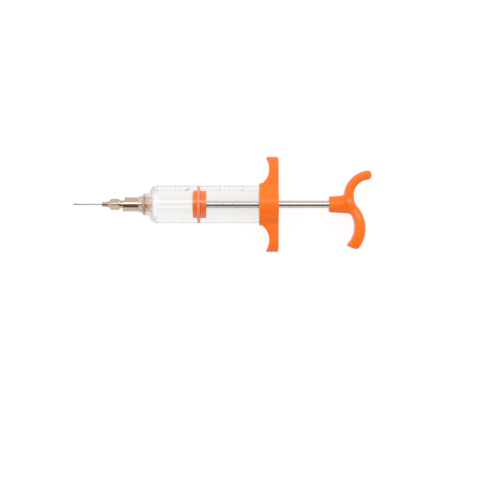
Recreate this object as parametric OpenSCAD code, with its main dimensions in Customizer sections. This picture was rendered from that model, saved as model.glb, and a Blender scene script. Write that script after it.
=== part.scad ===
// Reusable 20 ml veterinary syringe with a luer-lock needle, lying on its side.
// The syringe axis is X: the needle points to -X and the palm handle is at +X.
// The ears of the finger grip point to +Y and -Y.
// The origin is on the axis, at the front face of the finger grip, where the barrel seats.

/* [Barrel] */
// Outside diameter of the clear barrel
barrel_d = 25; // [22:0.5:32]
// Wall of the barrel
barrel_wall = 2.2; // [1.8:0.1:2.8]
// Length of the bore in front of the finger grip
barrel_reach = 71; // [60:1:90]
// Thickness of the wall that closes the front of the bore
front_wall = 2.3; // [2:0.1:4]
// Wall of the neck outside the luer fitting's stud
neck_wall = 2.75; // [1.8:0.05:3.2]
// Length of the neck in front of the shoulder
neck_len = 3.1; // [2:0.1:5]
// Step in from the barrel to its threaded spigot at the back, on the radius
spigot_step = 1; // [0.6:0.1:1.1]
// Room behind the spigot in its socket
spigot_room = 0.6; // [0.3:0.1:2]
// Fillet in the front corner of the bore
bore_fillet = 0.9; // [0.4:0.1:1]

/* [Luer fitting] */
// Wall of the locking collar
collar_wall = 0.7; // [0.5:0.05:1.6]
// Inside diameter of the locking collar, at the root of its thread
collar_bore_d = 8.1; // [8:0.1:8.4]
// Length of the locking collar on its short side
collar_len = 9; // [7.6:0.1:11]
// Extra length of the collar's lip on its long side, where the lugs enter
lip_lead = 1.7; // [0:0.1:2.4]
// Solid metal between the collar's recess and the hexagon
collar_floor = 1; // [0.6:0.1:2]
// How far the hexagon's flats stand out past the collar and the stud
hex_step = 0.6; // [0.1:0.05:1.5]
// How far the hexagon's turned corners stand out past its flats
hex_corner = 0.45; // [0.2:0.05:0.6]
// Thickness of the hexagon
hex_len = 2.9; // [2:0.1:5]
// Chamfer on the corners of the hexagon
hex_chamfer = 0.5; // [0.2:0.1:0.6]
// Turn of the hexagon about the axis, from a corner towards +Y
hex_turn = 30; // [0:1:60]
// Outside diameter of the threaded stud
stud_d = 9.6; // [7:0.1:11.5]
// Diameter of the male cone at its tip
cone_tip_d = 3.95; // [3.9:0.01:4]
// How far the cone's tip stands out past the short side of the collar
cone_proud = 2; // [1.6:0.1:3]
// Diameter of the fluid channel
channel_d = 2; // [1.2:0.1:2.4]
// Thickness of the gasket between the hexagon and the neck
gasket_t = 1; // [0.6:0.1:1.6]
// Step in from the neck to the gasket, on the radius
gasket_inset = 0.6; // [0:0.1:1.4]

/* [Needle] */
// Outside diameter of the cannula
cannula_d = 1.1; // [0.7:0.1:2]
// Inside diameter of the cannula
cannula_bore_d = 0.7; // [0.4:0.1:1]
// Length of the cannula in front of its hub
cannula_reach = 19.5; // [12:0.5:40]
// Angle of the bevel ground on the cannula's tip
bevel_angle = 16; // [12:1:30]
// Length of the cannula held in the hub
cannula_hold = 7; // [5:0.5:8]
// Diameter of the hub's nose at its front
nose_d = 3.2; // [2.6:0.1:3.8]
// Diameter of the hub's nose at its back
nose_back_d = 4; // [3:0.1:5]
// Length of the hub's nose
nose_len = 4.5; // [3:0.1:8]
// Width across the flats of the hub's square
square_af = 6.2; // [5.4:0.1:7]
// Diameter that the corners of the square are turned to
square_corner_d = 7.6; // [7:0.1:8.4]
// Length of the square, with its chamfers
square_len = 8; // [7:0.1:12]
// Chamfer at each end of the square
square_chamfer = 1.7; // [0.6:0.1:2]
// Diameter of the hub's neck
hub_neck_d = 5.2; // [5:0.1:6]
// Length of the neck between the square and the lugs
hub_neck_len = 4.9; // [4:0.1:7]
// Room between the lugs and the collar, on the radius
lug_gap = 0.2; // [0.1:0.05:0.4]
// Width of each lug
lug_w = 5.4; // [3:0.1:6]
// Thickness of the lugs
lug_t = 1.5; // [0.8:0.1:2]

/* [Piston] */
// Solid front of the front plate, in front of the rod's blind hole
plate_skin = 0.8; // [0.6:0.1:1.2]
// Distance from the front of the bore to the piston, as drawn up
drawn = 26.9; // [10:0.1:40]
// Room between the clamp plates and the bore, on the radius
plate_gap = 1.1; // [0.4:0.1:2]
// Thickness of the front plate
front_plate_t = 2.9; // [2.4:0.1:5]
// Rounding on the front edge of the front plate
plate_round = 1.2; // [0.4:0.1:1.6]
// Thickness of the rear plate
rear_plate_t = 3.9; // [2.5:0.1:6]
// Rounding on both edges of the rear plate
rear_round = 0.4; // [0.2:0.1:1]
// Width of the groove between the plates
groove_w = 2.1; // [1.6:0.1:4]
// Depth of the groove below the plates, on the radius
groove_depth = 1.9; // [1:0.1:3]
// Rounding on the lip of the seal
seal_round = 0.8; // [0.3:0.1:0.9]

/* [Push rod] */
// Diameter of the push rod
rod_d = 5; // [4:0.1:7]
// Step in from the rod to the threaded stud at each end, on the radius
rod_step = 0.6; // [0.4:0.1:0.9]
// Chamfer on the ends of the rod's studs
rod_chamfer = 0.4; // [0.2:0.1:0.6]
// Length of bare rod between the finger grip and the handle, as drawn up
rod_bare = 33.8; // [28:0.2:60]
// Length of full-size rod that sits in the handle's boss
rod_seat = 3; // [1.5:0.1:4]

/* [Finger grip] */
// Length of the grip along the syringe
grip_len = 12.9; // [11:0.1:20]
// Distance over the tips of the two ears
grip_span = 63.6; // [60:0.2:90]
// Width of the ears
ear_w = 16; // [12:0.2:22]
// Wall of the hub outside the barrel's spigot
hub_wall = 2.6; // [1.6:0.1:4]
// Rounding on the edges of the hub
hub_round = 0.8; // [0.3:0.1:1]
// Wall behind the barrel, which guides the rod
grip_floor = 3.7; // [3:0.1:6]
// Radius of the finger scoop in front of each ear
scoop_r = 12.5; // [10:0.1:15]
// Distance of the scoop's centre outside the hub
scoop_rise = 9.55; // [6:0.05:11]
// Thickness of an ear at the deepest point of its scoop
ear_t = 6.1; // [3.5:0.1:8]
// Thickness of an ear at its tip
ear_tip_t = 8.9; // [6:0.1:10.5]

/* [Palm handle] */
// Thickness of the bar where the bends meet
bar_t = 6.2; // [5.5:0.1:8]
// Thickness of the bar at its lower end
butt_t = 8; // [5.5:0.1:9]
// Thickness of the bar at its upper end
tang_t = 6.1; // [5:0.1:8]
// Width of the bar where the bends meet, and at its lower end
bar_w = 14; // [13:0.2:20]
// Width of the bar at the middle of the palm swell
palm_w = 17; // [13:0.2:22]
// Width of the bar at its upper end
tang_w = 13; // [10:0.2:18]
// Squareness of the bar's front, from 2, which is round
front_square = 5; // [2:0.1:8]
// Squareness of the bar's back, from 2, which is round
rear_square = 2.8; // [2:0.1:8]
// Rounding on the edge of the lower end
butt_round = 1.6; // [0.3:0.1:2]
// Radius of the upper bend, where the web of the thumb rests
web_r = 14; // [12:0.1:22]
// Height of the upper bend's centre above the syringe axis
web_rise = 5.5; // [2:0.1:7]
// Turn of the upper bend above its centre
tang_turn = 83; // [45:1:86]
// Distance from the upper bend's centre down to where the bend reverses
reversal_drop = 8.9; // [7:0.1:11]
// Radius of the lower bend, where the palm rests
palm_r = 19; // [14:0.1:24]
// Turn of the lower bend
palm_turn = 79; // [60:1:100]
// How far the cut of the lower end is turned from square with the bar, towards square with the palm
butt_skew = 18; // [0:1:24]
// Wall of the boss outside the insert, at its front
boss_wall = 1.65; // [1.2:0.05:3]
// How much wider the boss is at the bar, on the radius
boss_flare = 1; // [0.1:0.1:2]
// Length of the boss in front of the bar
boss_len = 10.1; // [8:0.1:16]
// Bar that is left behind the end of the boss
boss_cover = 1; // [0.6:0.1:2]
// Wall of the threaded insert in the boss
insert_wall = 1.65; // [1:0.05:2.4]
// Length of the threaded insert
insert_len = 8; // [5:0.2:10]
// Depth of the retaining groove round the insert
insert_groove = 0.5; // [0.2:0.1:0.7]
// Width of the retaining groove
insert_groove_w = 2.4; // [1:0.1:4]

/* [Hidden] */
$fn = 96;
// Room between threaded or bonded pieces of one body, on the radius
thread_gap = 0.05;
// Room round the sliding seal in the bore, on the radius
seal_gap = 0.05;
// Room inside the seal, on the radius, and beside it, so that the plates turn in it
seal_seat_gap = 0.08;
// Room round the rod in its guide, on the radius
rod_gap = 0.07;
// Room between the cone and the needle hub, on the radius
cone_gap = 0.08;
// Space left beyond the end of a blind hole
end_gap = 0.4;
// Overlap that keeps a cut clear of the face it opens through
cut = 1;
// Standard taper of the cone, diameter per length
cone_taper = 0.06;
// Diameter of the cone at the mouth of the needle hub
cone_gauge_d = 4.27;

// Barrel
bore_d = barrel_d - 2 * barrel_wall;
spigot_d = barrel_d - 2 * spigot_step;
stud_hole_d = stud_d + 2 * thread_gap;
neck_d = stud_hole_d + 2 * neck_wall;
zero_x = -barrel_reach;
shoulder_x = zero_x - front_wall;
shoulder_r = (barrel_d - neck_d) / 2;
neck_x = shoulder_x - neck_len;

// Luer fitting
collar_d = collar_bore_d + 2 * collar_wall;
hex_af = max(collar_d, stud_d) + 2 * hex_step;
hex_turned_d = hex_af + 2 * hex_corner;
gasket_d = neck_d - 2 * gasket_inset;
hex_back_x = neck_x - gasket_t;
hex_front_x = hex_back_x - hex_len;
hex_mid_x = hex_back_x - hex_len / 2;
mouth_x = hex_front_x - collar_len;
recess_x = hex_front_x - collar_floor;
cone_tip_x = mouth_x - cone_proud;

// Needle
lug_d = collar_bore_d - 2 * lug_gap;
hub_back_x = cone_tip_x + (cone_gauge_d - cone_tip_d) / cone_taper;
lug_x = hub_back_x - lug_t;
square_back_x = lug_x - hub_neck_len;
square_front_x = square_back_x - square_len;
nose_x = square_front_x - nose_len;
cannula_tip_x = nose_x - cannula_reach;
cannula_back_x = nose_x + cannula_hold;

// Piston and rod
plate_d = bore_d - 2 * plate_gap;
groove_d = plate_d - 2 * groove_depth;
rod_stud_d = rod_d - 2 * rod_step;
piston_x = zero_x + drawn;
groove_x = piston_x + front_plate_t;
rear_plate_x = groove_x + groove_w;
rod_x = rear_plate_x + rear_plate_t;
plate_hole_d = rod_stud_d + 2 * thread_gap;
front_stud_x = piston_x + plate_skin + end_gap;

// Finger grip
socket_d = spigot_d + 2 * thread_gap;
hub_d = socket_d + 2 * hub_wall;
socket_len = grip_len - grip_floor;
spigot_len = socket_len - spigot_room;
scoop_reach = hub_d / 2 + scoop_rise;
scoop_x = grip_len - ear_t - scoop_r;

// Palm handle
insert_d = rod_stud_d + 2 * (thread_gap + insert_wall);
boss_tip_d = insert_d + 2 * (thread_gap + boss_wall);
boss_d = boss_tip_d + 2 * boss_flare;
boss_x = grip_len + rod_bare;
bar_x = boss_x + boss_len;
web_x = bar_x + bar_t / 2 + web_r;
reversal_angle = asin(reversal_drop / web_r);
reach = web_r + palm_r;
palm_x = web_x - reach * cos(reversal_angle);
palm_y = web_rise - reach * sin(reversal_angle);
rod_end_x = boss_x + rod_seat;
insert_back_x = rod_end_x + insert_len;
boss_end_x = bar_x + bar_t - boss_cover;
// Points round the bar's section
bar_sides = 32;
// Steps along the lower bend, the upper bend and each rounded end
palm_steps = 16;
web_steps = 20;
end_steps = 4;
// How far a rounded end turns before its flat
end_turn = 80;
// Share of the lower bend over which its sections turn to the skewed end
skew_share = 0.35;

// Turns a profile about the syringe axis: the profile's x is a radius and its y lies along X
module turned() {
    rotate([90, 0, 90]) rotate_extrude() children();
}

// A round bar or hole along X
module round_x(x_from, x_to, d, d_to = undef) {
    translate([x_from, 0, 0]) rotate([0, 90, 0])
        cylinder(h = x_to - x_from, d1 = d, d2 = is_undef(d_to) ? d : d_to);
}

// Half of a disc's section, from x_from to x_to, with its outer corners rounded
module disc_section(x_from, x_to, d, round_from, round_to) {
    difference() {
        translate([0, x_from]) square([d / 2, x_to - x_from]);
        outer_corner(d / 2, x_from, round_from, 1);
        outer_corner(d / 2, x_to, round_to, -1);
    }
}

// What a rounding of radius r takes off the outer corner at radius radius and place x
module outer_corner(radius, x, r, inward) {
    difference() {
        translate([radius - r, inward > 0 ? x - cut : x - r]) square([r + cut, r + cut]);
        translate([radius - r, x + inward * r]) circle(r);
    }
}

// Stainless tube with a ground bevel, its opening facing +Z
module cannula() {
    bevel_len = cannula_d / sin(bevel_angle);
    color("lightgray") difference() {
        round_x(cannula_tip_x, cannula_back_x, cannula_d);
        round_x(cannula_tip_x - cut, cannula_back_x + cut, cannula_bore_d);
        translate([cannula_tip_x, 0, -cannula_d / 2]) rotate([0, -bevel_angle, 0])
            translate([-cut, -cannula_d, 0]) cube([bevel_len + 2 * cut, 2 * cannula_d, bevel_len]);
    }
}

// Plated brass hub: nose, square with turned corners, neck and two locking lugs
module needle_hub() {
    socket_end_x = cannula_back_x;
    socket_end_d = cone_gauge_d - cone_taper * (hub_back_x - socket_end_x);
    color("tan") difference() {
        union() {
            round_x(nose_x, square_front_x + square_chamfer, nose_d, nose_back_d);
            intersection() {
                turned() square_section();
                translate([square_front_x, 0, 0]) rotate([45, 0, 0])
                    translate([0, -square_af / 2, -square_af / 2])
                        cube([square_len, square_af, square_af]);
            }
            round_x(square_back_x - square_chamfer, hub_back_x, hub_neck_d);
            intersection() {
                round_x(lug_x, hub_back_x, lug_d);
                translate([lug_x, -lug_w / 2, -lug_d]) cube([lug_t, lug_w, 2 * lug_d]);
            }
        }
        round_x(nose_x - cut, socket_end_x + cut, cannula_d + 2 * thread_gap);
        round_x(socket_end_x, hub_back_x + cut, socket_end_d + 2 * cone_gap,
            cone_gauge_d + cone_taper * cut + 2 * cone_gap);
    }
}

// Turned envelope of the hub's square, chamfered at both ends
module square_section() {
    front_r = nose_back_d / 2;
    back_r = hub_neck_d / 2;
    polygon([[0, square_front_x], [front_r, square_front_x],
        [square_corner_d / 2, square_front_x + square_chamfer],
        [square_corner_d / 2, square_back_x - square_chamfer],
        [back_r, square_back_x], [0, square_back_x]]);
}

// Plated brass tip: male cone inside a locking collar, a hexagon and a threaded stud
module luer_fitting() {
    cone_base_d = cone_tip_d + cone_taper * (recess_x - cone_tip_x);
    lip_angle = atan(lip_lead / collar_d);
    color("silver") difference() {
        union() {
            difference() {
                round_x(mouth_x - lip_lead, hex_mid_x, collar_d);
                round_x(mouth_x - lip_lead - cut, recess_x, collar_bore_d);
                translate([mouth_x, collar_d / 2, 0]) rotate([0, 0, -lip_angle])
                    translate([-2 * collar_d, -2 * collar_d, -collar_d])
                        cube([2 * collar_d, 4 * collar_d, 2 * collar_d]);
            }
            round_x(cone_tip_x, recess_x, cone_tip_d, cone_base_d);
            intersection() {
                translate([hex_front_x, 0, 0]) rotate([90, 0, 90]) rotate(hex_turn)
                    cylinder(h = hex_len, d = hex_af / cos(30), $fn = 6);
                turned() hex_section();
            }
            round_x(hex_mid_x, zero_x, stud_d);
        }
        round_x(cone_tip_x - cut, zero_x + cut, channel_d);
    }
}

// Turned envelope of the hexagon, which blunts and chamfers its corners
module hex_section() {
    full_r = hex_turned_d / 2;
    low_r = full_r - hex_chamfer;
    polygon([[0, hex_front_x], [low_r, hex_front_x], [full_r, hex_front_x + hex_chamfer],
        [full_r, hex_back_x - hex_chamfer], [low_r, hex_back_x], [0, hex_back_x]]);
}

// Silicone washer that seals the fitting against the neck
module tip_gasket() {
    color("rosybrown") difference() {
        round_x(hex_back_x, neck_x, gasket_d);
        round_x(hex_back_x - cut, neck_x + cut, stud_hole_d);
    }
}

// Clear moulded barrel: threaded neck, round shoulder, straight bore and rear spigot
module barrel() {
    color("gainsboro", 0.4) difference() {
        turned() barrel_section();
        turned() bore_section();
        round_x(neck_x - cut, zero_x + cut, stud_hole_d);
    }
}

// Outside of the barrel
module barrel_section() {
    shoulder_end_x = shoulder_x + shoulder_r;
    translate([0, neck_x]) square([neck_d / 2, shoulder_end_x - neck_x]);
    intersection() {
        translate([neck_d / 2, shoulder_end_x]) circle(shoulder_r);
        translate([0, shoulder_x]) square([barrel_d / 2, shoulder_r]);
    }
    translate([0, shoulder_end_x]) square([barrel_d / 2, -shoulder_end_x]);
    square([spigot_d / 2, spigot_len]);
}

// Inside of the barrel, from the front of the bore to the open back
module bore_section() {
    disc_section(zero_x, spigot_len + cut, bore_d, bore_fillet, 0);
}

// Front clamp plate, with the spigot that carries the seal and a blind threaded hole
module piston_front_plate() {
    color("orangered") difference() {
        turned() {
            disc_section(piston_x, groove_x, plate_d, plate_round, rear_round);
            translate([0, groove_x - cut]) square([groove_d / 2, groove_w + cut]);
        }
        round_x(front_stud_x - end_gap, rear_plate_x + cut, plate_hole_d);
    }
}

// Silicone sealing ring, clamped between the plates
module piston_seal() {
    color("salmon") difference() {
        turned() disc_section(groove_x + seal_seat_gap, rear_plate_x - seal_seat_gap,
            bore_d - 2 * seal_gap, seal_round, seal_round);
        round_x(groove_x - cut, rear_plate_x + cut, groove_d + 2 * seal_seat_gap);
    }
}

// Rear clamp plate, held against the shoulder of the rod
module piston_rear_plate() {
    color("orangered") difference() {
        turned() disc_section(rear_plate_x, rod_x, plate_d, rear_round, rear_round);
        round_x(rear_plate_x - cut, rod_x + cut, plate_hole_d);
    }
}

// Chromed rod with a threaded stud at each end
module push_rod() {
    stud_back_x = insert_back_x - end_gap;
    color("lightgray") {
        round_x(front_stud_x, front_stud_x + rod_chamfer, rod_stud_d - 2 * rod_chamfer, rod_stud_d);
        round_x(front_stud_x + rod_chamfer, rod_x, rod_stud_d);
        round_x(rod_x, rod_end_x, rod_d);
        round_x(rod_end_x, stud_back_x - rod_chamfer, rod_stud_d);
        round_x(stud_back_x - rod_chamfer, stud_back_x, rod_stud_d, rod_stud_d - 2 * rod_chamfer);
    }
}

// Moulded grip: round hub on the barrel's spigot and two ears with finger scoops
module finger_grip() {
    color("darkorange") difference() {
        union() {
            turned() disc_section(0, grip_len, hub_d, hub_round, hub_round);
            intersection() {
                translate([0, 0, -ear_w / 2]) linear_extrude(ear_w) ear_profile();
                rotate([90, 0, 90]) linear_extrude(grip_len) ear_outline();
            }
        }
        round_x(-cut, socket_len, socket_d);
        round_x(socket_len - cut, grip_len + cut, rod_d + 2 * rod_gap);
    }
}

// Both ears from the side: flat at the back, scooped in front
module ear_profile() {
    tip_x = grip_len - ear_tip_t;
    difference() {
        union() {
            translate([0, -scoop_reach]) square([grip_len, 2 * scoop_reach]);
            translate([tip_x, -grip_span / 2]) square([ear_tip_t, grip_span]);
        }
        for (side = [-1, 1]) translate([scoop_x, side * scoop_reach]) circle(scoop_r);
    }
}

// Both ears from behind: a bar with round ends
module ear_outline() {
    straight = grip_span - ear_w;
    translate([-straight / 2, -ear_w / 2]) square([straight, ear_w]);
    for (side = [-1, 1]) translate([side * straight / 2, 0]) circle(d = ear_w);
}

// Moulded palm handle: one bar lofted along two opposite bends, with a boss for the rod
module palm_handle() {
    color("darkorange") difference() {
        union() {
            lofted(BAR_STATIONS);
            round_x(boss_x, boss_end_x, boss_tip_d, boss_d);
        }
        round_x(boss_x - cut, rod_end_x, rod_d + 2 * thread_gap);
        round_x(rod_end_x - cut, insert_back_x, insert_d + 2 * thread_gap);
    }
}

// A value between a and b
function mix(a, b, t) = a + (b - a) * t;

// A station of the bar is its place in X and Y, its heading, its thickness and its width.
// The lower bend runs from the butt, at 0, to where the bend reverses, at 1
function palm_station(t) = let (
        a = reversal_angle - palm_turn * (1 - t),
        skew = butt_skew * pow(max(0, 1 - t / skew_share), 2))
    [palm_x + palm_r * cos(a), palm_y + palm_r * sin(a), a + 90 + skew,
        mix(butt_t, bar_t, t), bar_w + (palm_w - bar_w) * sin(180 * t)];

// The upper bend runs from the reversal, at 0, to the tang, at 1
function web_station(t) = let (a = 180 + reversal_angle - (reversal_angle + tang_turn) * t)
    [web_x + web_r * cos(a), web_rise + web_r * sin(a), a - 90, mix(bar_t, tang_t, t), mix(bar_w, tang_w, t)];

// A station moved along its heading with its edges drawn in, as on a rounding of radius r
function rounded_end(s, r, a, way) = let (along = way * r * sin(a), inset = r * (1 - cos(a)))
    [s[0] + along * cos(s[2]), s[1] + along * sin(s[2]), s[2], s[3] - 2 * inset, s[4] - 2 * inset];

BAR_STATIONS = concat(
    [for (i = [end_steps:-1:1]) rounded_end(palm_station(0), butt_round, end_turn * i / end_steps, -1)],
    [for (i = [0:palm_steps]) palm_station(i / palm_steps)],
    [for (i = [1:web_steps]) web_station(i / web_steps)],
    [for (i = [1:end_steps]) rounded_end(web_station(1), tang_t / 2, end_turn * i / end_steps, 1)]);

// Point j of the section at a station: flatter in front, rounder behind
function section_point(s, j) = let (
        a = 360 * j / bar_sides,
        square = cos(a) > 0 ? rear_square : front_square,
        across = s[3] / 2 * sign(cos(a)) * pow(abs(cos(a)), 2 / square),
        up = s[4] / 2 * sign(sin(a)) * pow(abs(sin(a)), 2 / square))
    [s[0] + across * sin(s[2]), s[1] - across * cos(s[2]), up];

// A closed solid through the sections at a list of stations
module lofted(stations) {
    last = (len(stations) - 1) * bar_sides;
    polyhedron(
        points = [for (s = stations, j = [0:bar_sides - 1]) section_point(s, j)],
        faces = concat(
            [[for (j = [bar_sides - 1:-1:0]) j]],
            [for (i = [0:len(stations) - 2], j = [0:bar_sides - 1], half = [0, 1])
                let (a = i * bar_sides + j, b = i * bar_sides + (j + 1) % bar_sides)
                    half == 0 ? [a, b, b + bar_sides] : [a, b + bar_sides, a + bar_sides]],
            [[for (j = [0:bar_sides - 1]) last + j]]));
}

// Brass bush moulded into the boss, which takes the thread of the rod
module handle_insert() {
    groove_from_x = rod_end_x + (insert_len - insert_groove_w) / 2;
    groove_to_x = groove_from_x + insert_groove_w;
    color("goldenrod") difference() {
        round_x(rod_end_x, insert_back_x, insert_d);
        round_x(rod_end_x - cut, insert_back_x + cut, rod_stud_d + 2 * thread_gap);
        difference() {
            round_x(groove_from_x, groove_to_x, insert_d + cut);
            round_x(groove_from_x - cut, groove_to_x + cut, insert_d - 2 * insert_groove);
        }
    }
}

cannula();
needle_hub();
luer_fitting();
tip_gasket();
barrel();
piston_front_plate();
piston_seal();
piston_rear_plate();
push_rod();
finger_grip();
palm_handle();
handle_insert();
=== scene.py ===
# %% [markdown]
# # A reusable syringe, finished in Blender
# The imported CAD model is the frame: it says where every piece is and how it moves. This lesson
# makes a finer visual piece for each CAD node, in the same frame, gives it a finish and lets it ride
# on its CAD body. The syringe's axis is X, with the needle at -X, the palm handle at +X and the ears
# of the finger grip along Y. Sizes are written in millimetres, and MM turns them into metres.

# %% Load the frame
import math

import bmesh
import bpy
import numpy as np
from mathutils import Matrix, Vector


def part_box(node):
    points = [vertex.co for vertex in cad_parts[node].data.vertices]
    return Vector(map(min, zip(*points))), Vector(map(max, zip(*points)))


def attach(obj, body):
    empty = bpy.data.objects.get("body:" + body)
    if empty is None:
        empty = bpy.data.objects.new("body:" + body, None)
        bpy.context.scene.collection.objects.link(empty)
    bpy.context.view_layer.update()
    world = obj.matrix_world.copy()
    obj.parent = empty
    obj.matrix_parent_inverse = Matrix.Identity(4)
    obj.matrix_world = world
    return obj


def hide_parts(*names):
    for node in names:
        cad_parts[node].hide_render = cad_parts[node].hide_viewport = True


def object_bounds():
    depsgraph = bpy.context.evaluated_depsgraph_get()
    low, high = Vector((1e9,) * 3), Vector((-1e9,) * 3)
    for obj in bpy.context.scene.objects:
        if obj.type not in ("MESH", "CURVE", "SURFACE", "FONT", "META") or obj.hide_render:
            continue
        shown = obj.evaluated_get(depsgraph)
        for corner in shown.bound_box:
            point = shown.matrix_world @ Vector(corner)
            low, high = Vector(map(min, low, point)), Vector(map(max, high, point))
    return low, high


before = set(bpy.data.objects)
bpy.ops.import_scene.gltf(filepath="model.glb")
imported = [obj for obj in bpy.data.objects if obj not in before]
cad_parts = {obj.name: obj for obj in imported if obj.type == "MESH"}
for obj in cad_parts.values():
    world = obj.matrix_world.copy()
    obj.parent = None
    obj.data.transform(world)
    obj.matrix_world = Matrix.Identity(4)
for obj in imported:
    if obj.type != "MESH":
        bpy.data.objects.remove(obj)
cad_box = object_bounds()
MM = 0.001

# %% [markdown]
# ## Camera
# The photograph looks straight down at the syringe, so the camera hangs above it and looks along
# -Z. A long lens keeps the perspective weak. One millimetre is about 1.5 pixels.

# %% Hang the camera
VIEW_CENTRE, VIEW_WIDTH = (-12.7 * MM, -23.8 * MM), 320.6 * MM
LENS, SENSOR = 85, 36


def put(name, data):
    """A new object with that data, at the origin."""
    made = bpy.data.objects.new(name, data)
    bpy.context.scene.collection.objects.link(made)
    return made


camera = put("camera", bpy.data.cameras.new("camera"))
camera.data.lens, camera.data.sensor_width = LENS, SENSOR
camera.location = (*VIEW_CENTRE, VIEW_WIDTH * LENS / SENSOR)
bpy.context.scene.camera = camera
print("camera height: %.0f mm" % (camera.location.z / MM))

# %% [markdown]
# ## Node helpers
# Shaders and Geometry Nodes are both trees of nodes. Small helpers keep their building short:
# `feed` fills a node's inputs with values or with links, `add` places a node and feeds it, `wire`
# also gives its first output, to lead on to the next node, and `calc` does so for a Math node.


# %% Helpers for node trees
def feed(tree, node, inputs):
    for key, value in inputs.items():
        if isinstance(value, bpy.types.NodeSocket):
            tree.links.new(value, node.inputs[key])
        else:
            node.inputs[key].default_value = value
    return node


def add(tree, kind, inputs=None, **settings):
    made = tree.nodes.new(kind)
    for name, value in settings.items():
        setattr(made, name, value)
    return feed(tree, made, inputs or {})


def wire(tree, kind, inputs=None, **settings):
    return add(tree, kind, inputs, **settings).outputs[0]


def calc(tree, operation, *values):
    return wire(tree, "ShaderNodeMath", dict(enumerate(values)), operation=operation)


# %% [markdown]
# ## Studio
# A white floor and a broad soft sky, a little brighter towards +Y, light the syringe, and two faint
# soft boxes give the gloss something to show. Light Path lets floor and sky show white to the camera
# and through clear plastic without adding light. Bright metal needs something dark to mirror, so the
# sky that only reflections see has a dark stretch on the -Y side, like a dim room.


# %% Who sees the floor and the sky
def bare_tree(owner):
    """The emptied node tree of a material or a world."""
    owner.use_nodes = True
    owner.node_tree.nodes.clear()
    return owner.node_tree


def seen_by(tree, *names):
    """The largest of these outputs of Light Path."""
    path = tree.nodes.new("ShaderNodeLightPath").outputs
    total = path[names[0]]
    for name in names[1:]:
        total = calc(tree, "MAXIMUM", total, path[name])
    return total


def off_a_mirror(tree):
    """1 for light that a mirror sent on; one bounce inside the clear wall doesn't count."""
    in_wall = calc(tree, "COMPARE", seen_by(tree, "Transmission Depth"), 2.0, 0.5)
    return calc(tree, "GREATER_THAN", seen_by(tree, "Glossy Depth"), calc(tree, "ADD", in_wall, 0.5))


def either(tree, mask, plain, changed):
    """The first shader where the mask is 0, the second where it is 1."""
    return wire(tree, "ShaderNodeMixShader", {0: mask, 1: plain, 2: changed})


# %% Floor
FLOOR_Z, FLOOR_HALF = cad_box[0].z - 0.05 * MM, 4
FLOOR_LIT, FLOOR_SHADE, WHITE = (0.8, 0.8, 0.8, 1), (0.2, 0.2, 0.2, 1), (1, 1, 1, 1)
GLOW, MIRRORED_GLOW = 0.84, 0.48


def new_piece(name, points, edges=(), faces=()):
    mesh = bpy.data.meshes.new(name)
    mesh.from_pydata(points, edges, faces)
    return put(name, mesh)


def pale_floor():
    """Plain grey to light on the object, and a glowing white with faint shadows to the eye."""
    finish = bpy.data.materials.new("pale_floor")
    tree = bare_tree(finish)
    lit = wire(tree, "ShaderNodeBsdfDiffuse", {"Color": FLOOR_LIT})
    shade = wire(tree, "ShaderNodeBsdfDiffuse", {"Color": FLOOR_SHADE})
    glare = calc(tree, "MULTIPLY_ADD", off_a_mirror(tree), MIRRORED_GLOW - GLOW, GLOW)
    glow = wire(tree, "ShaderNodeEmission", {"Color": WHITE, "Strength": glare})
    white = wire(tree, "ShaderNodeAddShader", {0: glow, 1: shade})
    seen = seen_by(tree, "Is Camera Ray", "Is Glossy Ray", "Is Transmission Ray")
    add(tree, "ShaderNodeOutputMaterial", {"Surface": either(tree, seen, lit, white)})
    return finish


floor = new_piece("floor", [
    (x * FLOOR_HALF, y * FLOOR_HALF, FLOOR_Z)
    for x, y in ((-1, -1), (1, -1), (1, 1), (-1, 1))], [], [(0, 1, 2, 3)])
floor.data.materials.append(pale_floor())
print("floor at %.2f mm" % (FLOOR_Z / MM))

# %% Sky
SKY_BAND = [(0.0, (0.72, 0.7, 0.71)), (0.08, (0.62, 0.57, 0.54)), (0.135, (0.15, 0.09, 0.06)),
            (0.38, (0.08, 0.045, 0.03)), (0.44, (0.3, 0.29, 0.28)), (0.56, (0.36, 0.34, 0.31)),
            (0.66, (0.76, 0.69, 0.59)), (1.0, (0.68, 0.62, 0.56))]
SKY_LEVEL, SKY_LEAN, LOW_SKY = 0.98, 0.42, 0.2


def axes_of(tree, whole):
    """The X, Y and Z outputs of a vector."""
    return add(tree, "ShaderNodeSeparateXYZ", {0: whole}).outputs


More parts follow.
